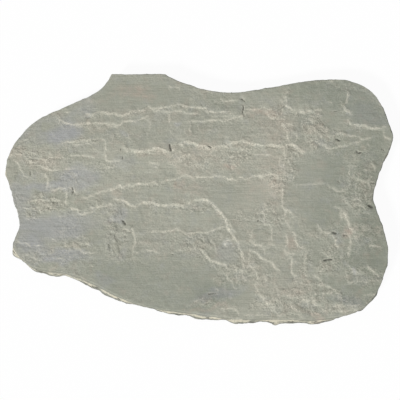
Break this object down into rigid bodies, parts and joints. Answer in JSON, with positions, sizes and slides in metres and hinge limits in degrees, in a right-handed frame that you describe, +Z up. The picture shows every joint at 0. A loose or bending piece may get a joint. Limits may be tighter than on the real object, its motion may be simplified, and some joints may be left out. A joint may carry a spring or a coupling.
{
  "type": "sandstone paver",
  "caption": "Irregular riven sandstone stepping stone with low bedding ledges, a chiselled edge and a flat sawn underside.",
  "frame": {"origin": "on the sawn underside, at the middle of the stone's bounding box seen from above", "axes": "+X along the stone's length, +Y across it, +Z up out of the split face"},
  "size_m": [0.5706, 0.3734, 0.0362],
  "materials": {
    "stone": "riven, dull"
  },
  "bodies": {
    "root": {"sandstone_paver": "stone"}
  },
  "joints": []
}
